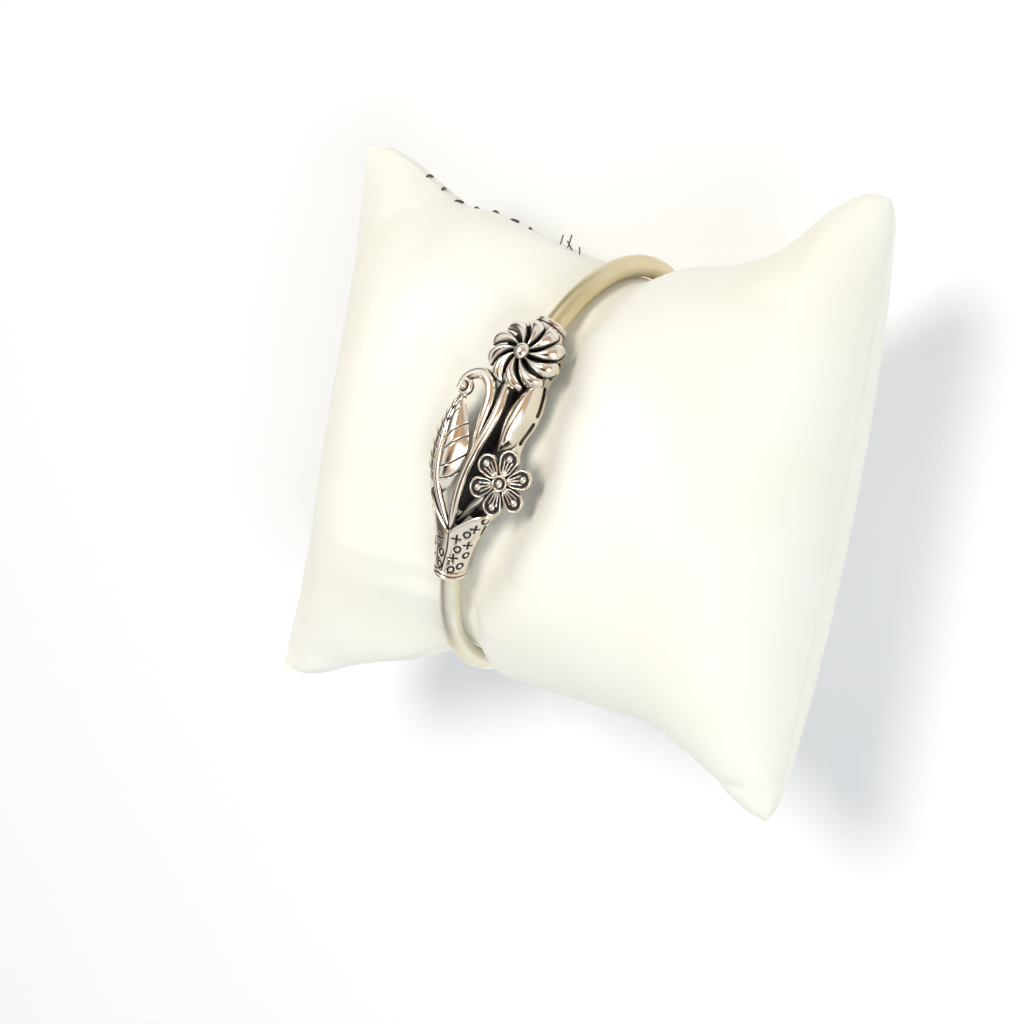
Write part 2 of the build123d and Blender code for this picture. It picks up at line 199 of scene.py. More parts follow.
def addRod(name, knots, radius, roundSteps, order, alongSteps):  # a knot is x, y, z and share of the radius
    curve = bpy.data.curves.new(name, "CURVE")
    curve.dimensions = "3D"
    curve.bevel_depth = radius
    curve.bevel_resolution = roundSteps
    curve.use_fill_caps = True
    line = curve.splines.new("NURBS")
    line.points.add(len(knots) - 1)
    for point, (x, y, z, share) in zip(line.points, knots):
        point.co = (x, y, z, 1)
        point.radius = share
    line.order_u = order
    line.use_endpoint_u = True
    line.resolution_u = alongSteps
    obj = bpy.data.objects.new(name, curve)
    bpy.context.scene.collection.objects.link(obj)
    makeActive(obj)
    bpy.ops.object.convert(target="MESH")
    return bpy.context.active_object


def layOnArc(obj):  # from flat millimetres to the bangle's front arc in metres
    flat = readPoints(obj)
    turn = flat[:, 1] / ring["frontRadius"]
    reach = ring["frontRadius"] + flat[:, 2]
    bent = np.column_stack([flat[:, 0], reach * np.sin(turn), reach * np.cos(turn), np.ones(len(flat))])
    writePoints(obj, (bent @ np.array(arcFrame).T)[:, :3] * 0.001)


def dress(obj, name, material, angle=50):
    obj.name = obj.data.name = name
    obj.data.materials.clear()
    obj.data.materials.append(material)
    makeActive(obj)
    bpy.ops.object.shade_smooth_by_angle(angle=math.radians(angle))
    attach(obj, "root")
    return obj


def newMaterial(name):
    material = bpy.data.materials.new(name)
    material.use_nodes = True
    tree = material.node_tree
    place = addNode(tree, "ShaderNodeTexCoord").outputs["Object"]
    return material, tree, tree.nodes["Principled BSDF"], place


def castSilverMaterial():  # cast silver, tumbled bright on the high places and blackened in the recesses, with painted shade added where nearby surfaces block the light
    material, tree, shader, place = newMaterial("oxidisedCastSilver")
    # wear in patches of about 1.1 mm
    worn = addNode(tree, "ShaderNodeTexNoise", {"Vector": place, "Scale": 900.0, "Detail": 3.0})
    # painted shade: darker where other surfaces lie within 1.2 mm, taken together with the oxide attribute
    corner = addNode(tree, "ShaderNodeAmbientOcclusion", {"Distance": 0.0012}, samples=12)
    paintedShade = addNode(
        tree,
        "ShaderNodeMapRange",
        {"Value": corner.outputs["AO"], "From Min": 0.36, "From Max": 0.80, "To Min": 1.0, "To Max": 0.0},
        interpolation_type="SMOOTHSTEP",
    )
    painted = addNode(tree, "ShaderNodeAttribute", attribute_name="oxideAndShade")
    oxideWithShade = addNode(
        tree, "ShaderNodeMath", {0: paintedShade.outputs[0], 1: painted.outputs["Fac"]}, operation="MAXIMUM"
    )
    uneven = addNode(
        tree, "ShaderNodeMath", {0: worn.outputs["Fac"], 1: 0.22, 2: -0.11}, operation="MULTIPLY_ADD"
    )
    patchy = addNode(
        tree,
        "ShaderNodeMath",
        {0: oxideWithShade.outputs[0], 1: uneven.outputs[0]},
        operation="ADD",
        use_clamp=True,
    )
    black = addNode(
        tree, "ShaderNodeMapRange", {"Value": patchy.outputs[0], "From Min": 0.12, "From Max": 0.72}
    )
    colour = addNode(
        tree,
        "ShaderNodeMix",
        {"Factor": black.outputs[0], "A": toLinear("#EDE6DA"), "B": toLinear("#0D0B0C")},
        data_type="RGBA",
    )
    rough = addNode(tree, "ShaderNodeMapRange", {"Value": black.outputs[0], "To Min": 0.18, "To Max": 0.5})
    metal = addNode(tree, "ShaderNodeMapRange", {"Value": black.outputs[0], "To Min": 1.0, "To Max": 0.1})
    skin = addNode(
        tree, "ShaderNodeBump", {"Height": worn.outputs["Fac"], "Strength": 0.12, "Distance": 0.00005}
    )
    tree.links.new(colour.outputs["Result"], shader.inputs["Base Color"])
    tree.links.new(rough.outputs[0], shader.inputs["Roughness"])
    tree.links.new(metal.outputs[0], shader.inputs["Metallic"])
    tree.links.new(skin.outputs["Normal"], shader.inputs["Normal"])
    return material


def blackenedMaterial():  # silver sulphide left matt in the deepest places
    material, tree, shader, place = newMaterial("silverSulphide")
    # grain of about 0.7 mm
    grain = addNode(tree, "ShaderNodeTexNoise", {"Vector": place, "Scale": 1400.0, "Detail": 4.0})
    colour = addNode(tree, "ShaderNodeValToRGB", {"Fac": grain.outputs["Fac"]})
    dark, light = colour.color_ramp.elements
    dark.position = 0.35
    dark.color = toLinear("#0F0D10")
    light.position = 0.75
    light.color = toLinear("#2E2A2C")
    skin = addNode(
        tree, "ShaderNodeBump", {"Height": grain.outputs["Fac"], "Strength": 0.3, "Distance": 0.00005}
    )
    tree.links.new(colour.outputs["Color"], shader.inputs["Base Color"])
    tree.links.new(skin.outputs["Normal"], shader.inputs["Normal"])
    shader.inputs["Roughness"].default_value = 0.45
    shader.inputs["Metallic"].default_value = 0.3
    return material


def satinSilverMaterial():  # drawn silver tube, satin rubbed along its length and a little tarnished
    material, tree, shader, place = newMaterial("satinSilverTube")
    # tarnish in patches of about 8 mm
    tarnish = addNode(tree, "ShaderNodeTexNoise", {"Vector": place, "Scale": 130.0, "Detail": 4.0})
    colour = addNode(tree, "ShaderNodeValToRGB", {"Fac": tarnish.outputs["Fac"]})
    dull, bright = colour.color_ramp.elements
    dull.position = 0.3
    dull.color = toLinear("#E0DABE")
    bright.position = 0.7
    bright.color = toLinear("#F6F3E6")
    # yellower towards the top of the bangle
    spot = addNode(tree, "ShaderNodeSeparateXYZ", {"Vector": place})
    towardTop = addNode(
        tree,
        "ShaderNodeMapRange",
        {"Value": spot.outputs["Y"], "From Min": 0.008, "From Max": 0.024, "To Max": 0.6},
    )
    warm = addNode(
        tree,
        "ShaderNodeMix",
        {"Factor": towardTop.outputs[0], 6: colour.outputs["Color"], 7: toLinear("#D2BE88")},
        data_type="RGBA",
    )
    # 0.2 mm rub marks, long along the bangle
    along = addNode(tree, "ShaderNodeMapping", {"Vector": place, "Scale": (1.0, 0.06, 1.0)})
    rub = addNode(tree, "ShaderNodeTexNoise", {"Vector": along.outputs[0], "Scale": 5000.0, "Detail": 2.0})
    rough = addNode(
        tree, "ShaderNodeMapRange", {"Value": rub.outputs["Fac"], "To Min": 0.30, "To Max": 0.46}
    )
    skin = addNode(
        tree, "ShaderNodeBump", {"Height": rub.outputs["Fac"], "Strength": 0.08, "Distance": 0.00004}
    )
    tree.links.new(warm.outputs[2], shader.inputs["Base Color"])
    tree.links.new(rough.outputs[0], shader.inputs["Roughness"])
    tree.links.new(skin.outputs["Normal"], shader.inputs["Normal"])
    shader.inputs["Metallic"].default_value = 1.0
    return material


def leatherMaterial():  # soft coated leather, fine pebble grain about 0.5 mm across
    material, tree, shader, place = newMaterial("warmWhiteLeather")
    pebble = addNode(tree, "ShaderNodeTexVoronoi", {"Vector": place, "Scale": 1900.0, "Randomness": 1.0})
    # slow swells of about 2.4 mm, and tones of about 22 mm
    swell = addNode(tree, "ShaderNodeTexNoise", {"Vector": place, "Scale": 420.0, "Detail": 3.0})
    tone = addNode(tree, "ShaderNodeTexNoise", {"Vector": place, "Scale": 45.0, "Detail": 2.0})
    colour = addNode(tree, "ShaderNodeValToRGB", {"Fac": tone.outputs["Fac"]})
    cream, pale = colour.color_ramp.elements
    cream.position = 0.25
    cream.color = toLinear("#F6F3E4")
    pale.position = 0.75
    pale.color = toLinear("#FBF9F0")
    height = addNode(
        tree, "ShaderNodeMath", {0: pebble.outputs["Distance"], 1: swell.outputs["Fac"]}, operation="ADD"
    )
    rough = addNode(
        tree, "ShaderNodeMapRange", {"Value": swell.outputs["Fac"], "To Min": 0.38, "To Max": 0.58}
    )
    skin = addNode(
        tree, "ShaderNodeBump", {"Height": height.outputs[0], "Strength": 0.22, "Distance": 0.00009}
    )
    tree.links.new(colour.outputs["Color"], shader.inputs["Base Color"])
    tree.links.new(rough.outputs[0], shader.inputs["Roughness"])
    tree.links.new(skin.outputs["Normal"], shader.inputs["Normal"])
    shader.inputs["IOR"].default_value = 1.46
    shader.inputs["Sheen Weight"].default_value = 0.08
    return material


def threadMaterial():  # waxed brown sewing thread, its ply about 0.3 mm long
    material, tree, shader, place = newMaterial("waxedThread")
    ply = addNode(tree, "ShaderNodeTexNoise", {"Vector": place, "Scale": 3000.0, "Detail": 2.0})
    colour = addNode(tree, "ShaderNodeValToRGB", {"Fac": ply.outputs["Fac"]})
    dark, light = colour.color_ramp.elements
    dark.color = toLinear("#3A2A20")
    light.color = toLinear("#6E5745")
    tree.links.new(colour.outputs["Color"], shader.inputs["Base Color"])
    shader.inputs["Roughness"].default_value = 0.6
    return material


castSilver = castSilverMaterial()
blackened = blackenedMaterial()
satinSilver = satinSilverMaterial()
leather = leatherMaterial()
thread = threadMaterial()
print("materials made")


# the tube and both collars keep the shape of their solids
refinished = {"bangle_tube": satinSilver, "upper_collar": castSilver, "lower_collar": castSilver}
for nodeName, material in refinished.items():
    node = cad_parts[nodeName]
    node.data.materials.clear()
    node.data.materials.append(material)
    makeActive(node)
    bpy.ops.object.shade_smooth_by_angle(angle=math.radians(35))
print("tube and collars refinished")


pillow = {
    "half": 46.1,  # middle to an ear's tip
    "seamHeight": 33.2,
    "frontBulge": 26.0,
    "backBulge": 36.5,
    "fallOff": (2.6, 2.2),  # how late a panel falls to the seam, along and across
    "fullness": 0.55,  # lower is fuller near the seam
    "leftSink": 0.06,  # share of the front bulge that is gone at the left edge
    "leftSlack": 0.3,
    "rightFill": 0.1,
    "waist": 3.4,  # how far the left edge bends in
    "rightBow": 0.9,  # how far the right edge bends out
    "tipRound": 1.0,
    "tipReach": 0.12,
    "facets": 150,
    "leatherGap": 0.2,
    "furrowFlat": (2.0, 1.4),  # left and right of the bangle
    "furrowSpread": (5.0, 4.2),
    "furrowWidth": (5.0, 5.5),
    "slope": (11.0, 1.5),  # how much wider the furrow opens on the front
    "slopeHeights": (4, 22),  # above the ring's middle, from none of it to all of it
    "daisyDent": (-0.9, 8.0, 2.8),  # along, reach, extra width
    "ornamentEnd": 21.5,
    "ornamentDip": 0.75,
    "dipRun": (7, 3.5),  # how far past the ornament's end it reaches, and the length of its ramp
    "spreadRun": (1, 9),
    "seamGroove": (0.35, 0.5, 60),  # depth, half width, how close it keeps to the edge
    "gathers": 0.3,
    "gatherWaves": (29, 47),  # coarse and fine, in radians for each half side
    "gatherShares": (0.6, 0.4),
    "gatherRun": (1.2, 4),  # from the seam in, the rise and the fall
    "creases": [  # start, end, depth, half width
        ((35.0, 38.0), (35.4, 28.5), 1.5, 3.0),
        ((36.5, -40.9), (41.0, -40.4), 0.7, 1.0),
        ((-25.0, 37.5), (-33.5, 33.0), 0.45, 2.0),
        ((-37.0, -41.0), (-29.0, -33.0), 0.5, 2.0),
    ],
    "seamRows": [  # along, top, bottom
        (-1.00, 1.00, -1.00),
        (-0.85, 0.98, -0.98),
        (-0.67, 0.89, -0.90),
        (-0.53, 0.815, -0.85),
        (-0.39, 0.80, -0.82),
        (-0.24, 0.757, -0.80),
        (0.00, 0.70, -0.77),
        (0.35, 0.70, -0.77),
        (0.60, 0.74, -0.79),
        (0.68, 0.78, -0.825),
        (0.76, 0.87, -0.87),
        (0.90, 0.98, -0.955),
        (1.00, 1.00, -1.00),
    ],
}


def ovalOffset(u, w):  # distance outside the tube's middle line, and the outward direction there
    front, high, long = ring["frontRadius"], ring["halfHeight"], ring["halfLength"]
    endRadius = (2 * front * high - high**2 - long**2) / (2 * (front - long))
    endOffset = long - endRadius
    onFront = np.arctan2(abs(u), abs(w) + frontDrop) <= math.atan2(endOffset, frontDrop)
    du = abs(u) - np.where(onFront, 0.0, endOffset)
    dw = abs(w) + np.where(onFront, frontDrop, 0.0)
    reach = np.maximum(np.hypot(du, dw), 1e-9)
    radius = np.where(onFront, front, endRadius)
    return reach - radius, du / reach * np.sign(u + 1e-12), dw / reach * np.sign(w + 1e-12)


def pressUnderRing(points):  # the furrow that the bangle and its ornament press into the leather
    local = (np.column_stack([points, np.ones(len(points))]) @ np.array(ringFrame.inverted()).T)[:, :3]
    d, u, w = local.T
    outside, outU, outW = ovalOffset(u, w)
    along = ring["frontRadius"] * np.arctan2(u, w + frontDrop)
    past = pillow["ornamentEnd"] - abs(along)
    upper = w > 0
    dipReach, dipRamp = pillow["dipRun"]
    dip = np.where(upper, np.clip((past + dipReach) / dipRamp, 0, 1), 0)
    limit = -(ring["tubeRadius"] + pillow["leatherGap"]) - pillow["ornamentDip"] * dip
    flat, spread, width, slope = [
        np.where(d < 0, *pillow[name]) for name in ("furrowFlat", "furrowSpread", "furrowWidth", "slope")
    ]
    width = width + slope * smoothStep(w, *pillow["slopeHeights"])
    dentAt, dentReach, dentWidth = pillow["daisyDent"]
    spread = spread + np.where(d > 0, dentWidth * ripple(along - dentAt, dentReach), 0)
    spreadReach, spreadRamp = pillow["spreadRun"]
    flat = flat + np.where(upper, spread * np.clip((past + spreadReach) / spreadRamp, 0, 1), 0)
    press = ripple(np.maximum(0, abs(d) - flat), width)
    move = np.where(outside > limit, (limit - outside) * press, 0)
    local = np.column_stack([d, u + outU * move, w + outW * move, np.ones(len(points))])
    return (local @ np.array(ringFrame).T)[:, :3]


def pillowPoints(p, q, side):  # p and q run from -1 to 1, side is 1 for the front panel and -1 for the back
    top, bottom = flowAll(p, pillow["seamRows"])
    sideBow = np.where(p < 0, pillow["waist"], pillow["rightBow"])
    x = pillow["half"] * p + sideBow * (1 - q * q) * p * p
    y = pillow["half"] * (bottom + (top - bottom) * (q + 1) / 2)
    tip = np.clip((abs(p) + abs(q) - 2 + pillow["tipReach"]) / pillow["tipReach"], 0, 1) ** 2
    if side > 0:
        bulge = pillow["frontBulge"] * (1 + pillow["leftSink"] * np.minimum(p, 0))
        power = pillow["fullness"] + pillow["leftSlack"] * smoothStep(-p, 0.1, 1.0)
    else:
        bulge = pillow["backBulge"]
        power = pillow["fullness"] - pillow["rightFill"] * smoothStep(p, 0.2, 1.0)
    alongFall, acrossFall = pillow["fallOff"]
    height = bulge * ((1 - abs(p) ** alongFall) * (1 - abs(q) ** acrossFall)) ** power
    grooveDepth, grooveWidth, grooveFocus = pillow["seamGroove"]
    groove = grooveDepth * ripple(height, grooveWidth) * (1 - tip)
    fromEdge = (1 - np.maximum(abs(p), abs(q))) * pillow["half"]
    run = np.where(abs(q) > abs(p), p, q + 3)
    coarse, fine = pillow["gatherWaves"]
    coarseShare, fineShare = pillow["gatherShares"]
    wave = coarseShare * np.sin(coarse * run + 1) + fineShare * np.sin(fine * run + side)
    rise, fall = pillow["gatherRun"]
    height = height + pillow["gathers"] * wave * smoothStep(fromEdge, 0, rise) * np.exp(-fromEdge / fall)
    if side > 0:
        for start, end, depth, width in pillow["creases"]:
            away = segmentDistance(x, y, start, end)
            height = height - np.minimum(depth * ripple(away, width), 0.5 * height)
    cornerCut = pillow["tipRound"] * tip
    x = x - np.sign(p) * (cornerCut + groove * abs(p) ** grooveFocus)
    y = y - np.sign(q) * (cornerCut + groove * abs(q) ** grooveFocus)
    return np.column_stack([x, y, pillow["seamHeight"] + side * height])


def makePillow():
    panels = []
    for side in (1, -1):
        panel = addGrid("panel", pillow["facets"], pillow["facets"])
        u, v, _ = readPoints(panel).T
        p, q = np.sin(u * math.pi / 2), np.sin(v * math.pi / 2)
        points = pressUnderRing(pillowPoints(p, q, side))
        points[:, 2] = np.maximum(points[:, 2], 0.0)
        writePoints(panel, points * 0.001)
        if side < 0:
            panel.data.flip_normals()
        panels.append(panel)
    obj = joinPieces(panels)
    mergeAndFaceOut(obj, 0.00001)
    return obj


pillowPiece = dress(makePillow(), "leatherPillow", leather, 70)
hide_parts("display_pillow")
print("pillow made:", len(pillowPiece.data.polygons), "faces")


stitches = {
    "at": (-0.69, -0.62, -0.55, -0.47, -0.39, -0.31, -0.24),  # along the top seam
    "radius": 0.2,
    "bite": 0.9,  # how far onto each panel
    "slant": 0.35,
    "tuft": (-0.11, -0.08, -0.06, -0.03),
    "tuftRadius": 0.11,
    "tuftLength": (1.7, 2.3, 1.5, 1.2),
    "tuftSlant": 0.6,
}


def seamPoint(share, side, height):  # on the top seam, or that far up the panel
    q = np.sqrt(1 - np.linspace(0, 0.2, 401) ** 2)
    points = pressUnderRing(pillowPoints(np.full(q.shape, share), q, side))
    return Vector(points[np.argmin(abs(abs(points[:, 2] - points[0, 2]) - height))])


def addThread(points, radius):
    knots = [(*(point * 0.001), 1.0) for point in points]
    return addRod("threadPath", knots, radius * 0.001, 3, 3, 12)


def makeStitches():
    threads = []
    for k, share in enumerate(stitches["at"]):
        lean = Vector((stitches["slant"] * math.sin(2.3 * k), 0, 0))
        front = seamPoint(share, 1, stitches["bite"]) + lean
        back = seamPoint(share, -1, stitches["bite"]) - lean
        start = front - Vector((0, 0.3, 0.1))
        edge = seamPoint(share, 1, 0) + Vector((0, 0.5, 0))
        threads.append(addThread([start, front, edge, back], stitches["radius"]))
    for k, (share, length) in enumerate(zip(stitches["tuft"], stitches["tuftLength"])):
        root = seamPoint(share, 1, 0.3)
        tip = root + Vector((stitches["tuftSlant"] * math.sin(1.9 * k + 0.6), 0.9, 0.35)) * length
        middle = (root + tip) / 2 + Vector((0.2, 0, 0.25))
        threads.append(addThread([root, middle, tip], stitches["tuftRadius"]))
    return dress(joinPieces(threads), "seamStitches", thread, 60)


seamStitches = makeStitches()
print("stitches made")


stems = {
    "mainStem": {
        "radius": 0.72,
        "points": [  # along, across, out, share of the radius
            (-12.2, -0.12, 1.4, 0.7),
            (-10.0, -0.18, 1.7, 0.85),
            (-6.0, -0.42, 2.0, 1.0),
            (-2.0, -0.18, 2.1, 1.0),
            (2.0, 0.42, 2.1, 1.05),
            (6.0, 1.02, 2.1, 1.1),
            (9.0, 0.78, 2.0, 1.05),
            (12.0, -0.18, 1.5, 0.95),
            (14.0, -0.9, 1.1, 0.8),
        ],
    },
    "curlStem": {
        "radius": 0.86,
        "points": [
            (-0.6, -0.12, 1.5, 0.35),
            (2.4, -0.6, 1.8, 0.7),
            (5.0, -0.8, 2.0, 0.85),
            (7.6, -1.0, 2.2, 0.95),
            (9.6, -1.5, 2.3, 1.05),
            (10.9, -2.6, 2.4, 1.1),
            (11.5, -4.1, 2.5, 1.05),
            (10.8, -5.7, 2.6, 0.95),
            (9.5, -6.7, 2.65, 0.8),
            (8.0, -6.7, 2.6, 0.6),
        ],
    },
    "leafStem": {
        "radius": 0.55,
        "points": [
            (3.2, -5.7, 2.9, 0.45),
            (1.6, -5.5, 3.05, 0.75),
            (-1.0, -5.1, 3.1, 0.95),
            (-3.4, -4.62, 3.0, 1.05),
            (-6.0, -3.7, 2.7, 1.05),
            (-8.6, -2.0, 2.2, 0.95),
            (-11.2, -0.5, 1.6, 0.8),
        ],
    },
}


def makeStem(name, facts):
    knots = [(across, along, out, share) for along, across, out, share in facts["points"]]
    obj = addRod(name, knots, facts["radius"], 6, 4, 10)
    mergeAndFaceOut(obj)
    setOxideAndShade(obj, 1 - smoothStep(readPoints(obj)[:, 2], 0.9, 1.6))  # black low down between the pieces: oxide with painted shade under the stem
    layOnArc(obj)
    return dress(obj, name, castSilver, 60)


stemPieces = [makeStem(name, facts) for name, facts in stems.items()]
print("stems made")


leafRelief = {
    "veinWidth": 0.085,
    "veinDepth": 0.14,
    "veinDark": 1.25,
    "foldWidth": 0.16,  # share of a lobe
    "foldDark": 3,
    "fullLobe": 3.4,  # a lobe this wide has all of its bulge
}

leaves = {
    "veinedLeaf": {
        "grid": (110, 190),
        "thickness": 0.8,
        "power": 1.35,
        "bulge": (0.5, 0.75),  # extra height of the left and right lobe
        "fold": 0.0,
        "rowsTable": [  # along, left, left out, ridge, ridge out, right, right out
            (-7.3, -3.75, 1.8, -3.6, 2.0, -3.45, 1.8),
            (-6.6, -4.7, 1.7, -3.85, 2.3, -3.1, 1.85),
            (-5.6, -6.2, 1.5, -4.1, 2.6, -2.5, 1.9),
            (-4.2, -7.4, 1.25, -4.45, 2.9, -1.9, 1.85),
            (-2.0, -8.2, 1.2, -4.8, 3.1, -1.4, 1.8),
            (1.0, -8.5, 1.2, -5.15, 3.2, -1.5, 1.8),
            (4.0, -8.2, 1.2, -5.5, 3.1, -2.9, 1.9),
            (6.6, -7.4, 1.4, -5.8, 2.8, -4.6, 2.2),
            (7.7, -6.8, 1.7, -6.0, 2.5, -5.4, 2.1),
            (8.3, -6.35, 1.9, -6.15, 2.2, -5.95, 1.9),
        ],
        "veins": [  # across, along
            [(-5.35, 0.6), (-5.75, 2.6), (-5.95, 4.6), (-5.95, 7.2)],
            [(-5.85, 3.0), (-5.1, 5.0), (-4.9, 5.6)],
            [(-5.95, 4.8), (-5.4, 6.6)],
            [(-5.0, 1.0), (-4.2, 2.2), (-3.0, 4.2)],
            [(-4.75, -0.8), (-3.4, 0.8), (-1.9, 3.0)],
            [(-4.4, -3.1), (-2.5, -1.7), (-1.3, 0.1)],
            [(-3.8, -4.6), (-2.3, -3.7), (-1.5, -2.5)],
            [(-6.05, 5.2), (-7.2, 6.6)],
            [(-5.95, 3.4), (-7.7, 5.0)],
            [(-5.75, 2.2), (-8.0, 3.5)],
            [(-5.6, 0.8), (-8.3, 1.9)],
            [(-5.5, -0.8), (-8.3, 0.3)],
            [(-5.35, -2.4), (-8.2, -1.3)],
            [(-5.1, -3.9), (-7.8, -2.9)],
            [(-4.7, -5.3), (-7.0, -4.4)],
        ],
    },
    "plainLeaf": {
        "grid": (60, 120),
        "thickness": 0.8,
        "power": 1.9,
        "bulge": (0, 0),
        "fold": 0.0,
        "veins": [],
        "rowsTable": [  # the same columns
            (2.5, 3.4, 1.5, 3.5, 1.7, 3.62, 1.5),
            (3.0, 3.15, 1.5, 3.7, 2.0, 4.3, 1.4),
            (4.0, 2.8, 1.45, 4.0, 2.45, 5.2, 1.15),
            (5.6, 2.28, 1.4, 4.1, 2.85, 5.6, 0.9),
            (8.0, 1.98, 1.4, 4.3, 3.1, 6.1, 0.8),
            (10.6, 2.5, 1.4, 4.4, 2.95, 5.95, 0.8),
            (12.8, 3.4, 1.5, 4.55, 2.4, 5.35, 1.05),
            (13.8, 3.95, 1.45, 4.6, 2.0, 5.1, 1.3),
            (14.4, 4.4, 1.4, 4.6, 1.7, 4.8, 1.4),
        ],
    },
    "narrowLeaf": {
        "grid": (60, 120),
        "thickness": 0.6,
        "power": 1.3,
        "bulge": (0, 0),
        "fold": 0.25,
        "veins": [],
        "rowsTable": [  # the same columns
            (-9.8, 0.0, 1.3, 0.18, 1.6, 0.36, 1.3),
            (-8.2, 1.0, 1.3, 1.5, 1.95, 1.95, 1.3),
            (-6.4, 1.9, 1.35, 2.5, 2.25, 3.1, 1.45),
            (-4.8, 3.0, 1.45, 3.48, 2.2, 4.0, 1.55),
            (-3.3, 3.9, 1.55, 4.02, 1.8, 4.14, 1.55),
        ],
    },
}


def makeLeaf(name, facts):
    obj = addGrid(name, *facts["grid"])
    u, v, _ = readPoints(obj).T
    s = spanTable(facts["rowsTable"], v)
    left, leftOut, ridge, ridgeOut, right, rightOut = flowAll(s, facts["rowsTable"])
    lobe = np.where(u < 0, ridge - left, right - ridge)
    edge = np.where(u < 0, leftOut, rightOut)
    t = ridge + lobe * u
    k = abs(u)
    bulge = np.where(u < 0, *facts["bulge"]) * np.clip(lobe / leafRelief["fullLobe"], 0, 1)
    veinAway = np.full(len(t), 9.0)
    for vein in facts["veins"]:
        veinAway = np.minimum(veinAway, lineDistance(t, s, vein))
    vein = ripple(veinAway, leafRelief["veinWidth"])
    fold = facts["fold"] * ripple(k, leafRelief["foldWidth"])
    h = ridgeOut + (edge - ridgeOut) * k ** facts["power"] + bulge * np.sin(math.pi * k)
    writePoints(obj, np.column_stack([t, s, h - leafRelief["veinDepth"] * vein - fold]))
    setOxideAndShade(obj, np.clip(leafRelief["veinDark"] * vein + leafRelief["foldDark"] * fold, 0, 1))
    applyModifier(obj, "SOLIDIFY", thickness=facts["thickness"], offset=-1.0)
    layOnArc(obj)
    return dress(obj, name, castSilver, 50)


leafPieces = [makeLeaf(name, facts) for name, facts in leaves.items()]
print("leaves made")


pinwheel = {
    "place": (0.32, 16.25, 2.31),  # across, along, out
    "size": (6.2, 5.3),  # middle to a petal's end, across and along
    "petals": 10,
    "petalMesh": (28, 24),
    "sweep": 38,  # degrees from a petal's root to its end
    "thickness": 1.05,
    "roundEnds": (1.6, 0.55),  # how short and how full the ends are
    "bead": 1.25,
    "beadLift": 1.0,
    "discRadius": 4.0,
    "discTop": -0.4,
    "discUnder": -1.5,
    "profile": [  # reach, half width as a share of the outer reach, rise
        (0.10, 0.030, 0.25),
        (0.25, 0.045, 0.45),
        (0.45, 0.095, 0.60),
        (0.65, 0.160, 0.60),
        (0.82, 0.215, 0.32),
        (0.93, 0.235, -0.10),
        (1.00, 0.190, -0.50),
    ],
}


def placeFlower(obj, place, lean=0.0):
    points = readPoints(obj)
    turned = points @ np.array(Matrix.Rotation(math.radians(lean), 3, "Y")).T
    writePoints(obj, turned + np.array(place))


def makePinwheel():
    petal = addBall("petal", *pinwheel["petalMesh"])
    makeActive(petal)
    bpy.ops.transform.rotate(value=math.pi / 2, orient_axis="Y", center_override=(0, 0, 0))
    bpy.ops.object.transform_apply(location=False, rotation=True, scale=False)
    x, y, z = readPoints(petal).T
    root = pinwheel["profile"][0][0]
    reach = (1 + root) / 2 + (1 - root) / 2 * x
    around = np.sqrt(np.maximum(1 - x * x, 1e-9))
    across, up = y / around, z / around  # on a unit circle across the petal
    half, rise = flowAll(reach, pinwheel["profile"])
    short, full = pinwheel["roundEnds"]
    ends = np.clip(around * short, 0, 1) ** full
    swirl = math.radians(pinwheel["sweep"]) * np.maximum(reach - root, 0) ** 1.1
    swirl = swirl + across * half * ends / np.maximum(reach, 0.2) * 1.05
    ridge = pinwheel["thickness"] * ends * np.where(up > 0, up * (1 - 0.35 * across**2), up * 0.8)
    acrossSize, alongSize = pinwheel["size"]
    pieces = []
    for k in range(pinwheel["petals"]):
        one = copyPiece(petal)
        turn = 2 * math.pi / pinwheel["petals"] * k + swirl
        px = acrossSize * reach * np.cos(turn)
        py = alongSize * reach * np.sin(turn)
        writePoints(one, np.column_stack([px, py, rise + ridge]))
        # dark petal sides: oxide with painted shade between the petals
        setOxideAndShade(one, smoothStep(abs(across), 0.86, 1.0) * 0.8)
        pieces.append(one)
    bpy.data.objects.remove(petal)
    bead = addBall("bead", 32, 20)
    low = readPoints(bead)[:, 2]
    writePoints(bead, readPoints(bead) * pinwheel["bead"] + np.array([0, 0, pinwheel["beadLift"]]))
    # darker underneath: painted shade with oxide under the bead
    setOxideAndShade(bead, 1 - smoothStep(low, -0.25, 0.05))
    pieces.append(bead)
    top, under = pinwheel["discTop"], pinwheel["discUnder"]
    bpy.ops.mesh.primitive_cylinder_add(
        vertices=48, radius=pinwheel["discRadius"], depth=top - under, location=(0, 0, (top + under) / 2)
    )
    disc = bpy.context.active_object
    bpy.ops.object.transform_apply(location=True, rotation=True, scale=True)
    setOxideAndShade(disc, 1.0)
    pieces.append(disc)
    obj = joinPieces(pieces)
    placeFlower(obj, pinwheel["place"])
    layOnArc(obj)
    return dress(obj, "pinwheelFlower", castSilver, 60)


daisy = {
    "place": (6.84, -0.9, 2.75),
    "lean": 15,  # degrees outwards
    "petals": 6,
    "petalMesh": (72, 44),
    "root": 0.9,  # middle to a petal's root
    "reach": 4.75,  # middle to a petal's end
    "roundEnd": 1.52,
    "thickness": 0.75,
    "under": 0.35,
    "rim": 0.22,  # in from the edge, where the rounded rim is at its full height
    "dish": 0.34,
    "bead": (0.25, 0.52, 0.42),  # past the round end's middle, radius, height
    "ridge": (0.11, 0.2),  # half width, height
    "eye": 1.25,
    "eyeLift": 0.72,
    "eyeRing": (0.8, 0.14, 0.32),  # radius, half width, height
    "eyeBead": (0.46, 0.62),  # radius, height
}


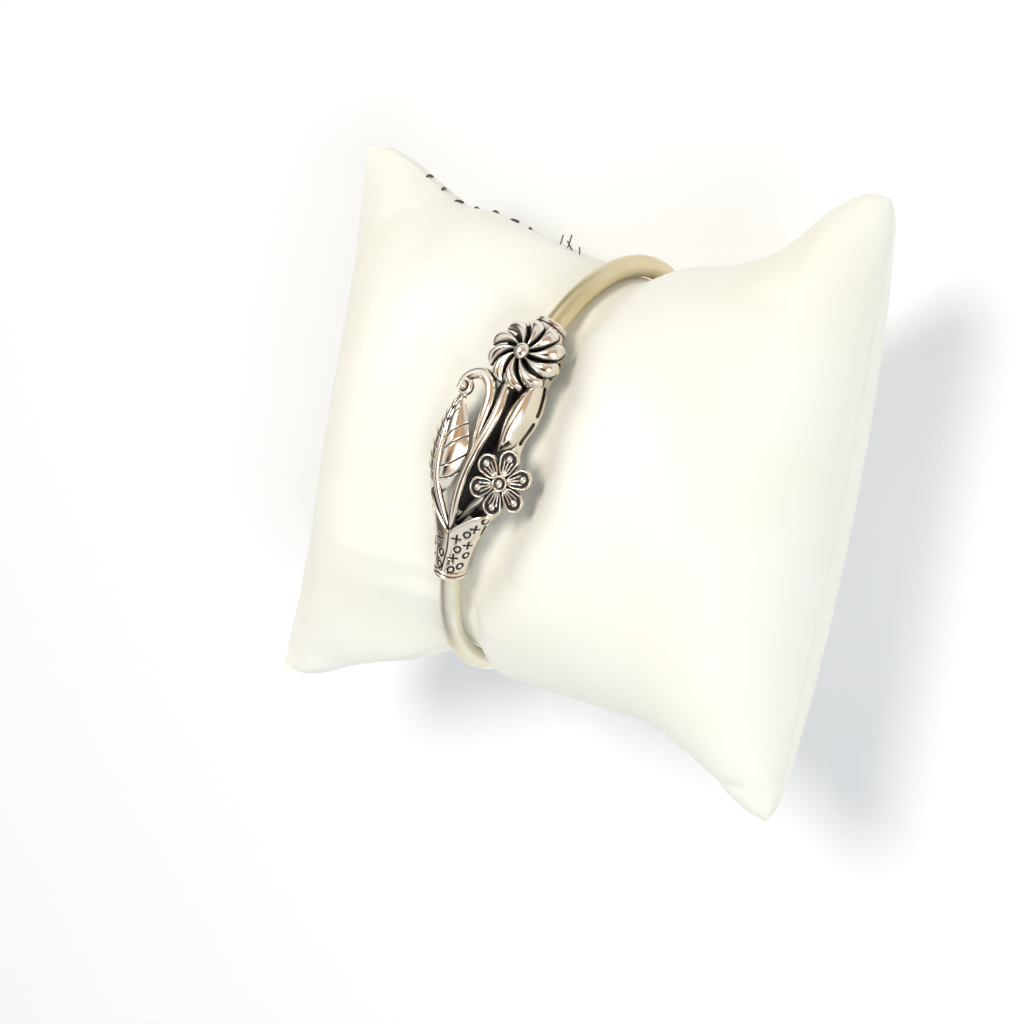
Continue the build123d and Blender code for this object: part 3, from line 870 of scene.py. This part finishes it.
def makeDaisy():
    petal = addBall("petal", *daisy["petalMesh"])
    x, y, z = readPoints(petal).T
    radial = np.hypot(x, y)
    angle = np.arctan2(y, x)
    # teardrop: round at the outer end, drawn in to the root
    middle = daisy["reach"] - daisy["roundEnd"]
    inward = np.clip(-np.cos(angle), 0, 1)
    tail = (middle - daisy["root"] - daisy["roundEnd"]) / daisy["roundEnd"]
    outline = daisy["roundEnd"] * (1 + tail * inward**2.6)
    px = middle + radial * outline * np.cos(angle)
    py = radial * outline * np.sin(angle) * (1 - 0.25 * inward)
    edge = (1 - radial) * outline
    top = daisy["thickness"] * dome(np.clip(1 - edge / daisy["rim"], 0, 1), 1)
    dish = daisy["dish"] * smoothStep(edge, 0.26, 0.5)
    beadOut, beadRadius, beadHeight = daisy["bead"]
    bead = beadHeight * dome(np.hypot(px - middle - beadOut, py), beadRadius)
    ridgeWidth, ridgeHeight = daisy["ridge"]
    ridges = np.zeros(len(px))
    for side in (-1, 0, 1):
        away = segmentDistance(px, py, (daisy["root"], 0.12 * side), (middle - 0.1, 0.62 * side))
        ridges = ridges + ridgeHeight * ripple(away, ridgeWidth)
    ridges = ridges * smoothStep(edge, 0.3, 0.45)
    upper = z >= 0
    under = -daisy["under"] * np.sqrt(np.clip(edge / 0.3, 0, 1))
    h = np.where(upper, top - dish + np.maximum(bead, ridges), under)
    dark = smoothStep(edge, 0.3, 0.48) * (1 - np.clip(bead * 4, 0, 1)) * (1 - np.clip(ridges * 6, 0, 1))
    writePoints(petal, np.column_stack([px, py, h]))
    # oxide in the dished middle of each petal; the black underside is painted shade with oxide
    setOxideAndShade(petal, np.where(upper, 1.1 * dark, 1.0))
    pieces = []
    for k in range(daisy["petals"]):
        one = copyPiece(petal)
        turn = Matrix.Rotation(2 * math.pi / daisy["petals"] * (k + 0.5), 3, "Z")
        writePoints(one, readPoints(petal) @ np.array(turn).T)
        pieces.append(one)
    bpy.data.objects.remove(petal)
    eye = addBall("eye", 48, 32)
    x, y, z = readPoints(eye).T
    radial = np.hypot(x, y)
    ringRadius, ringWidth, ringHeight = daisy["eyeRing"]
    beadRadius, beadHeight = daisy["eyeBead"]
    ringed = ringHeight * ripple(radial - ringRadius, ringWidth) + beadHeight * dome(radial, beadRadius)
    height = np.where(z >= 0, daisy["eyeLift"] + ringed - 0.5 * smoothStep(radial, 0.92, 1.0), -0.3)
    writePoints(eye, np.column_stack([x * daisy["eye"], y * daisy["eye"], height]))
    dark = ripple(radial - 0.55, 0.09) + smoothStep(radial, 0.93, 1.0)
    # oxide in the groove and at the edge; the black underside is painted shade with oxide
    setOxideAndShade(eye, np.where(z >= 0, dark, 1.0))
    pieces.append(eye)
    obj = joinPieces(pieces)
    placeFlower(obj, daisy["place"], daisy["lean"])
    layOnArc(obj)
    return dress(obj, "daisyFlower", castSilver, 60)


curlBall = {
    "place": (-5.55, 8.55, 2.8),
    "radius": 1.32,
    "top": 0.75,  # share of the radius
    "under": 0.6,
    "groove": (0.55, 0.12, 0.18),  # radius, half width, depth, as shares of the radius
    "bead": (0.42, 0.45),  # radius, height
}


def makeCurlBall():
    ball = addBall("curlBall", 48, 32)
    x, y, z = readPoints(ball).T
    radial = np.hypot(x, y)
    grooveRadius, grooveWidth, grooveDepth = curlBall["groove"]
    beadRadius, beadHeight = curlBall["bead"]
    top = z * curlBall["top"] - grooveDepth * ripple(radial - grooveRadius, grooveWidth)
    h = np.where(z > 0, top + beadHeight * dome(radial, beadRadius), z * curlBall["under"])
    writePoints(ball, np.column_stack([x, y, h]) * curlBall["radius"] + np.array(curlBall["place"]))
    # oxide in the groove; darker underneath as painted shade with oxide
    setOxideAndShade(ball, np.where(z > 0, ripple(radial - 0.52, 0.1) * 0.9, smoothStep(-z, 0.2, 0.5)))
    layOnArc(ball)
    return dress(ball, "curlBall", castSilver, 60)


flowerPieces = [makePinwheel(), makeDaisy(), makeCurlBall()]
print("flowers made")


calyx = {
    "columns": 240,
    "rows": 120,
    "wall": 0.55,
    "under": -1.0,  # it is cut flat underneath here
    "closedTo": (-15.6, -13.6),  # round all the way up to the first, open underneath from the second
    "table": [  # along, rise, half width, half height, middle
        (-17.2, 0.25, 2.65, 2.5, 0.0),
        (-14.0, 0.0, 3.4, 2.35, -0.25),
        (-10.0, 0.0, 4.85, 2.5, -0.45),
        (-7.0, 0.0, 5.95, 2.6, -0.45),
        (-5.2, 0.0, 6.42, 2.6, -0.4),
    ],
    "mouth": [  # across, along
        (-6.8, -6.3),
        (-4.5, -8.0),
        (-2.2, -9.5),
        (-0.4, -10.7),
        (0.0, -11.0),
        (0.5, -10.6),
        (1.9, -9.2),
        (3.5, -7.7),
        (5.2, -6.7),
        (6.8, -6.2),
    ],
    "seam": [(0.25, -17.3), (0.35, -14.0), (0.1, -10.8)],
    "crosses": [
        (1.9, -11.8),
        (4.8, -9.4),
        (4.2, -12.4),
        (1.9, -14.9),
        (-1.3, -12.8),
        (-4.1, -9.3),
        (-1.8, -15.7),
    ],
    "rings": [
        (6.3, -7.7),
        (3.6, -10.6),
        (2.4, -13.4),
        (4.2, -14.2),
        (3.4, -16.1),
        (1.8, -16.75),
        (-3.0, -11.6),
        (-2.1, -14.0),
        (-0.5, -14.8),
        (-0.5, -16.6),
    ],
    "slits": [((6.45, -8.7), (6.1, -10.1)), ((5.75, -11.9), (5.45, -13.3))],
    "stroke": 0.62,  # half a cross's stroke
    "ringRadius": 0.47,
    "punch": 0.15,  # half width of a punched line
    "punchDepth": 0.16,
    "slitWidth": 0.24,
    "slitCut": 1.6,  # deeper than a punch mark by this factor
    "seamWidth": 0.13,
    "seamDepth": 0.25,
    "lap": 0.14,  # the right flap stands this much higher at the seam
    "lip": (0.22, 0.16, 0.16),  # in from the mouth, half width, height
    "viewSlant": 0.69,  # how far a height shifts a mark to the left as it is seen
    "viewHeight": 2.5,
}


def calyxAt(s, turn):
    rise, wide, high, middle = flowAll(s, calyx["table"])
    return middle + wide * np.sin(turn), rise + high * np.cos(turn), wide, high


def calyxTurn(seen, s):  # turn round the calyx at which a mark is seen at that place on the plan
    turns = np.linspace(-1.9, 1.9, 761)
    t, h, _, _ = calyxAt(np.full(turns.shape, float(s)), turns)
    return turns[np.argmin(abs(t - calyx["viewSlant"] * (h - calyx["viewHeight"]) - seen))]


def makeCalyx():
    obj = addGrid("calyxCup", calyx["columns"], calyx["rows"])
    u, v, _ = readPoints(obj).T
    k = (v + 1) / 2
    foot = calyx["table"][0][0]
    s = np.full(len(u), -12.0)
    for _ in range(12):
        high = flow(s, calyx["table"], 3)
        openTurn = np.arccos(np.clip(calyx["under"] / high, -1, 1))
        closed = 1 - smoothStep(s, *calyx["closedTo"])
        turn = u * (openTurn + (math.pi - openTurn) * closed)
        t, h, wide, high = calyxAt(s, turn)
        s = foot + (flow(t, calyx["mouth"], 1) - foot) * k
    t, h, wide, high = calyxAt(s, turn)
    normal = np.column_stack([np.sin(turn) / wide, np.zeros(len(t)), np.cos(turn) / high])
    normal /= np.linalg.norm(normal, axis=1)[:, None]
    cut = np.zeros(len(t))
    for kind in ("crosses", "rings"):
        for seen, along in calyx[kind]:
            middle = calyxTurn(seen, along)
            _, _, markWide, markHigh = calyxAt(np.array([along]), np.array([middle]))
            scale = math.hypot(markWide[0] * math.cos(middle), markHigh[0] * math.sin(middle))
            x, y = (turn - middle) * scale, s - along
            if kind == "crosses":
                r = calyx["stroke"]
                flatStroke = segmentDistance(x, y, (-r, -0.1), (r, 0.1))
                away = np.minimum(flatStroke, segmentDistance(x, y, (-0.1, r), (0.1, -r)))
            else:
                away = abs(np.hypot(x, y) - calyx["ringRadius"])
            cut = np.maximum(cut, ripple(away, calyx["punch"]))
    radius = 3.2  # turns to millimetres, near enough for a slit
    for (startSeen, startAlong), (endSeen, endAlong) in calyx["slits"]:
        start = (calyxTurn(startSeen, startAlong) * radius, startAlong)
        end = (calyxTurn(endSeen, endAlong) * radius, endAlong)
        away = segmentDistance(turn * radius, s, start, end)
        cut = np.maximum(cut, calyx["slitCut"] * ripple(away, calyx["slitWidth"]))
    onTop = h > 0
    seamCut = np.where(onTop, ripple(lineDistance(t, s, calyx["seam"]), calyx["seamWidth"]), 0)
    seamAcross, seamAlong = zip(*calyx["seam"])
    fromSeam = t - np.interp(s, seamAlong, seamAcross)
    lap = calyx["lap"] * smoothStep(fromSeam, 0.05, 0.2) * (1 - smoothStep(fromSeam, 0.6, 2.0))
    toMouth = (flow(t, calyx["mouth"], 1) - s) * 0.75  # square to the slanting edge, near enough
    lipIn, lipWidth, lipHeight = calyx["lip"]
    lip = lipHeight * ripple(toMouth - lipIn, lipWidth)
    out = np.where(onTop, lap + lip, 0) - calyx["punchDepth"] * cut - calyx["seamDepth"] * seamCut
    writePoints(obj, np.column_stack([t, s, h]) + normal * out[:, None])
    setOxideAndShade(obj, np.clip(np.maximum(1.3 * cut, 1.2 * seamCut), 0, 1))
    applyModifier(obj, "SOLIDIFY", thickness=calyx["wall"], offset=-1.0)
    mergeAndFaceOut(obj, 0.005)
    layOnArc(obj)
    return dress(obj, "calyxCup", castSilver, 50)


cap = {
    "rows": [  # along, rise, half width, half height
        (16.6, 0.2, 4.1, 1.8),
        (18.2, 0.2, 4.1, 2.3),
        (19.8, 0.25, 3.8, 2.6),
        (20.8, 0.25, 3.2, 2.65),
        (21.45, 0.25, 2.55, 2.4),
    ]
}


def makeCap():
    bpy.ops.mesh.primitive_cylinder_add(vertices=64, radius=1, depth=2, end_fill_type="NGON")
    obj = bpy.context.active_object
    bpy.ops.object.mode_set(mode="EDIT")
    bpy.ops.mesh.select_all(action="SELECT")
    bpy.ops.mesh.bisect(plane_co=(0, 0, 0), plane_no=(0, 0, 1))  # a ring halfway
    bpy.ops.object.mode_set(mode="OBJECT")
    x, y, z = readPoints(obj).T
    s = spanTable(cap["rows"], z)
    rise, wide, high = flowAll(s, cap["rows"])
    writePoints(obj, np.column_stack([x * wide, s, rise + y * high]))
    mergeAndFaceOut(obj)
    setOxideAndShade(obj, 0.0)
    layOnArc(obj)
    return dress(obj, "capSocket", castSilver, 50)


walls = {
    "low": -1.0,
    "high": 0.9,
    "thickness": 0.6,
    "facesPerMillimetre": 10,
    "facesUp": 20,
    "slitLow": -0.45,
    "slitHigh": 0.52,
    "rightSlits": [(14.9, 17.6), (9.1, 13.5), (4.5, 8.4)],  # from, to
    "rightEdge": [  # along, across
        (-7.2, 4.7),
        (-6.0, 5.3),
        (-4.0, 5.8),
        (0.0, 5.8),
        (3.0, 5.1),
        (5.0, 4.9),
        (8.0, 5.45),
        (10.0, 5.35),
        (12.0, 4.8),
        (13.8, 4.15),
        (15.2, 4.15),
        (16.6, 4.3),
        (18.6, 3.9),
    ],
    "leftEdge": [(-7.0, -5.88), (-4.0, -6.5), (0.0, -6.9), (4.4, -6.8)],
}


def makeWall(name, edge, side, slits):
    columns = int((edge[-1][0] - edge[0][0]) * walls["facesPerMillimetre"])
    obj = addGrid(name, columns, walls["facesUp"])
    u, v, _ = readPoints(obj).T
    s = spanTable(edge, u)
    h = walls["low"] + (walls["high"] - walls["low"]) * (v + 1) / 2
    writePoints(obj, np.column_stack([flow(s, edge, 1), s, h]))
    makeActive(obj)
    bpy.ops.object.mode_set(mode="EDIT")
    bpy.ops.mesh.select_all(action="DESELECT")
    bpy.ops.object.mode_set(mode="OBJECT")
    slitMiddle = (walls["slitLow"] + walls["slitHigh"]) / 2
    radius = (walls["slitHigh"] - walls["slitLow"]) / 2
    for face in obj.data.polygons:
        _, along, out = face.center
        for low, high in slits:
            reach = max(low + radius - along, along - high + radius, 0)
            face.select = face.select or math.hypot(reach, out - slitMiddle) < radius
    bpy.ops.object.mode_set(mode="EDIT")
    bpy.ops.mesh.delete(type="FACE")
    bpy.ops.object.mode_set(mode="OBJECT")
    applyModifier(obj, "SOLIDIFY", thickness=walls["thickness"], offset=side)
    across, along, _ = readPoints(obj).T
    inner = side * (flow(along, edge, 1) - across) > 0.1
    setOxideAndShade(obj, np.where(inner, 1.0, 0.0))
    layOnArc(obj)
    return dress(obj, name, castSilver, 40)


web = {
    "low": -1.0,
    "high": -0.3,
    "grid": (30, 130),
    "wallGap": 0.3,  # from the right wall's outer face
    "leftEdge": [  # along, across
        (-8.6, -2.8),
        (-6.0, -2.6),
        (-2.0, -2.3),
        (2.0, -2.3),
        (6.0, -2.7),
        (10.0, -2.8),
        (12.6, -2.2),
        (17.8, -2.0),
    ],
    "window": [(1.92, -7.4), (2.58, -4.4), (4.32, -4.0), (4.62, -5.4), (3.42, -6.8)],  # across, along
}


def makeWeb():
    obj = addGrid("backingWeb", *web["grid"])
    u, v, _ = readPoints(obj).T
    s = spanTable(web["leftEdge"], v)
    left = flow(s, web["leftEdge"], 1)
    right = flow(s, walls["rightEdge"], 1) - web["wallGap"]
    t = left + (right - left) * (u + 1) / 2
    writePoints(obj, np.column_stack([t, s, np.full(len(s), web["high"])]))
    applyModifier(obj, "SOLIDIFY", thickness=web["high"] - web["low"], offset=-1.0)
    bpy.ops.mesh.primitive_circle_add(vertices=len(web["window"]), fill_type="NGON")
    cutter = bpy.context.active_object
    writePoints(cutter, np.array([(x, y, -3.0) for x, y in web["window"]]))
    makeActive(cutter)
    bpy.ops.object.mode_set(mode="EDIT")
    bpy.ops.mesh.select_all(action="SELECT")
    bpy.ops.mesh.extrude_region_move(TRANSFORM_OT_translate={"value": (0, 0, 5)})
    bpy.ops.mesh.select_all(action="SELECT")
    bpy.ops.mesh.normals_make_consistent(inside=False)
    bpy.ops.object.mode_set(mode="OBJECT")
    applyModifier(obj, "BOOLEAN", operation="DIFFERENCE", object=cutter, solver="EXACT")
    bpy.data.objects.remove(cutter)
    layOnArc(obj)
    return dress(obj, "backingWeb", blackened, 30)


basePieces = [
    makeCalyx(),
    makeCap(),
    makeWall("rightWall", walls["rightEdge"], 1, walls["rightSlits"]),
    makeWall("leftWall", walls["leftEdge"], -1, []),
    makeWeb(),
]
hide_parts("ornament_casting")
ornament = stemPieces + leafPieces + flowerPieces + basePieces
print("ornament made:", sum(len(piece.data.polygons) for piece in ornament), "faces")


stage = {
    "floor": "#FAFAFB",
    "lightTarget": (0, 0, 0.03),
    "lights": {  # place, size, power, colour
        "keyLight": ((-0.17, 0.22, 0.8), 0.38, 3.55, "#FFFAF0"),
        "fillLight": ((0.5, -0.22, 0.5), 0.4, 1.65, "#EEF6FF"),
    },
}

room = {  # what surrounds the object
    "strength": 0.9,
    "tent": "#BFC1C3",  # even light on leather and floor
    "bandsAlong": (0.40, 0.05, 0.91),
    "bands": [  # what the metal mirrors, from behind that direction to straight along it
        (0.0, "#6A625B"),
        (0.08, "#B8B1A8"),
        (0.22, "#FFFFFF"),
        (0.62, "#FFFFFF"),
        (0.72, "#B79C84"),
        (0.86, "#E6C6A4"),
        (1.0, "#CFA27C"),
    ],
    "darkToward": (0.05, -0.45, 0.89),
    "darkFrom": 0.93,
    "darkFull": 0.985,
    "dark": "#2E211F",
}

photoCamera = {
    "sensorWidth": 36,
    "lens": 51.4,
    "clip": (0.01, 20),
    "rows": (
        (0.8479, -0.1992, 0.4913, 0.1089),
        (0.1722, 0.9800, 0.1003, 0.0137),
        (-0.5014, -0.0004, 0.8652, 0.2346),
        (0, 0, 0, 1),
    ),
}


def addFloor():
    bpy.ops.mesh.primitive_plane_add(size=4)
    floor = bpy.context.active_object
    floor.name = "studioFloor"
    material = bpy.data.materials.new("paleFloor")
    material.use_nodes = True
    shader = material.node_tree.nodes["Principled BSDF"]
    shader.inputs["Base Color"].default_value = toLinear(stage["floor"])
    shader.inputs["Roughness"].default_value = 0.7
    floor.data.materials.append(material)


def addLight(name, location, size, power, hexColour):
    lamp = bpy.data.lights.new(name, "AREA")
    lamp.shape = "DISK"
    lamp.size = size
    lamp.energy = power
    lamp.color = toLinear(hexColour)[:3]
    obj = bpy.data.objects.new(name, lamp)
    bpy.context.scene.collection.objects.link(obj)
    obj.location = location
    towards = Vector(stage["lightTarget"]) - Vector(location)
    obj.rotation_euler = towards.to_track_quat("-Z", "Y").to_euler()


def addWorld():
    world = bpy.data.worlds.new("softStudio")
    world.use_nodes = True
    tree = world.node_tree
    back = tree.nodes["Background"]
    place = addNode(tree, "ShaderNodeTexCoord").outputs["Generated"]
    facing = addNode(
        tree, "ShaderNodeVectorMath", {0: place, 1: room["bandsAlong"]}, operation="DOT_PRODUCT"
    )
    ramp = addNode(tree, "ShaderNodeValToRGB", {"Fac": facing.outputs["Value"]})
    bands = room["bands"]
    stops = ramp.color_ramp.elements
    for position, hexColour in bands[1:-1]:
        stops.new(position).color = toLinear(hexColour)
    stops[0].color = toLinear(bands[0][1])
    stops[len(bands) - 1].color = toLinear(bands[-1][1])
    # the metal mirrors the warm room, while leather and floor get the even light of the tent
    mirrored = addNode(tree, "ShaderNodeLightPath").outputs["Is Glossy Ray"]
    lit = addNode(
        tree,
        "ShaderNodeMix",
        {"Factor": mirrored, 6: toLinear(room["tent"]), 7: ramp.outputs["Color"]},
        data_type="RGBA",
    )
    shade = addNode(
        tree, "ShaderNodeVectorMath", {0: place, 1: room["darkToward"]}, operation="DOT_PRODUCT"
    )
    darker = addNode(
        tree,
        "ShaderNodeMapRange",
        {"Value": shade.outputs["Value"], "From Min": room["darkFrom"], "From Max": room["darkFull"]},
        interpolation_type="SMOOTHSTEP",
    )
    seen = addNode(tree, "ShaderNodeMath", {0: darker.outputs[0], 1: mirrored}, operation="MULTIPLY")
    colour = addNode(
        tree,
        "ShaderNodeMix",
        {"Factor": seen.outputs[0], 6: lit.outputs[2], 7: toLinear(room["dark"])},
        data_type="RGBA",
    )
    tree.links.new(colour.outputs[2], back.inputs["Color"])
    back.inputs["Strength"].default_value = room["strength"]
    bpy.context.scene.world = world


def addCamera():
    data = bpy.data.cameras.new("photoCamera")
    data.sensor_width = photoCamera["sensorWidth"]
    data.lens = photoCamera["lens"]
    data.clip_start, data.clip_end = photoCamera["clip"]
    camera = bpy.data.objects.new("photoCamera", data)
    bpy.context.scene.collection.objects.link(camera)
    camera.matrix_world = Matrix(photoCamera["rows"])
    bpy.context.scene.camera = camera


addFloor()
addWorld()
for name, facts in stage["lights"].items():
    addLight(name, *facts)
addCamera()
bpy.context.scene.view_settings.view_transform = "Standard"
print("stage set")
